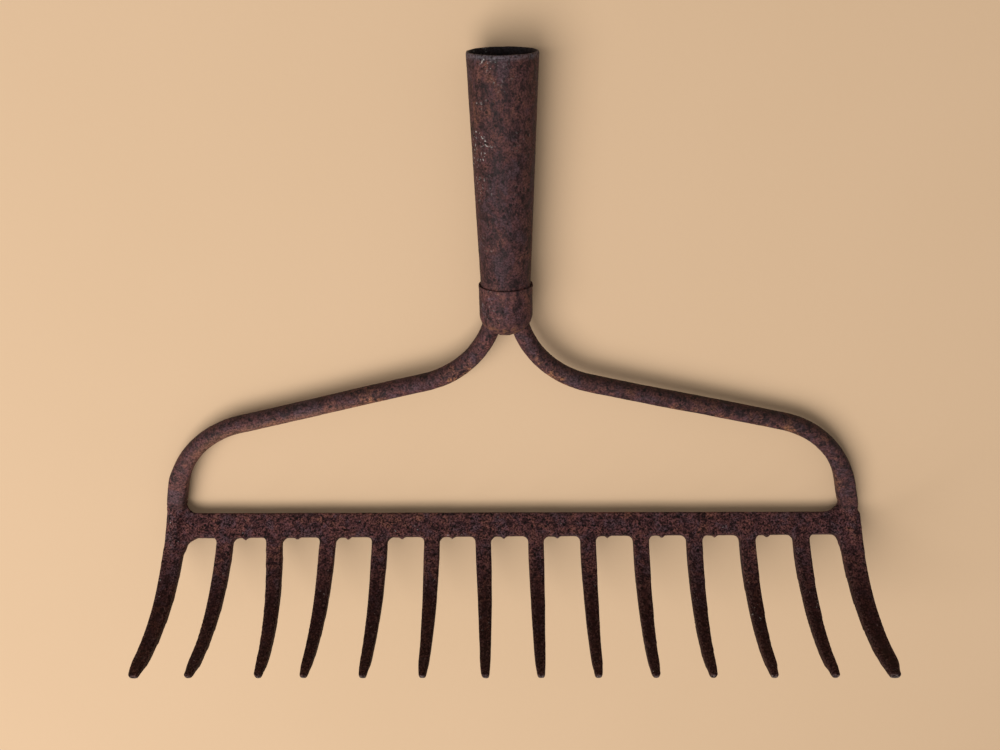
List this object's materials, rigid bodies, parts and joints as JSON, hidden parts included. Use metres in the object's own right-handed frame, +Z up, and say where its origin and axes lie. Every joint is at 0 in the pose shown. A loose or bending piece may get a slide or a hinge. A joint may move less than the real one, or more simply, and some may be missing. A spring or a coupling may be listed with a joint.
{
  "type": "bow rake head",
  "caption": "Steel bow rake head: a forged bar of curved tines on a two-armed rod bow that meets in a tapered handle socket.",
  "frame": {"origin": "centre of the handle socket's mouth", "axes": "+Y out of the mouth along the socket's axis, +X along the tine bar, +Z up, the way the tines point; the head lies on its back"},
  "size_m": [0.3584, 0.2726, 0.0885],
  "materials": {
    "forged_steel": "heavily rusted and pitted forged steel, worn bare at the tine tips",
    "steel_rod": "rusted rolled rod, purple-brown with orange patches",
    "weld_metal": "lumpy, rusted weld metal",
    "sheet_steel": "thin rusted sheet steel with black pits and small pale flecks"
  },
  "bodies": {
    "root": {"rake_head": "forged_steel", "left_bow_arm": "steel_rod", "right_bow_arm": "steel_rod", "left_bow_weld": "weld_metal", "right_bow_weld": "weld_metal", "neck_weld": "weld_metal", "socket_cup": "sheet_steel", "socket_tube": "sheet_steel"}
  },
  "joints": []
}
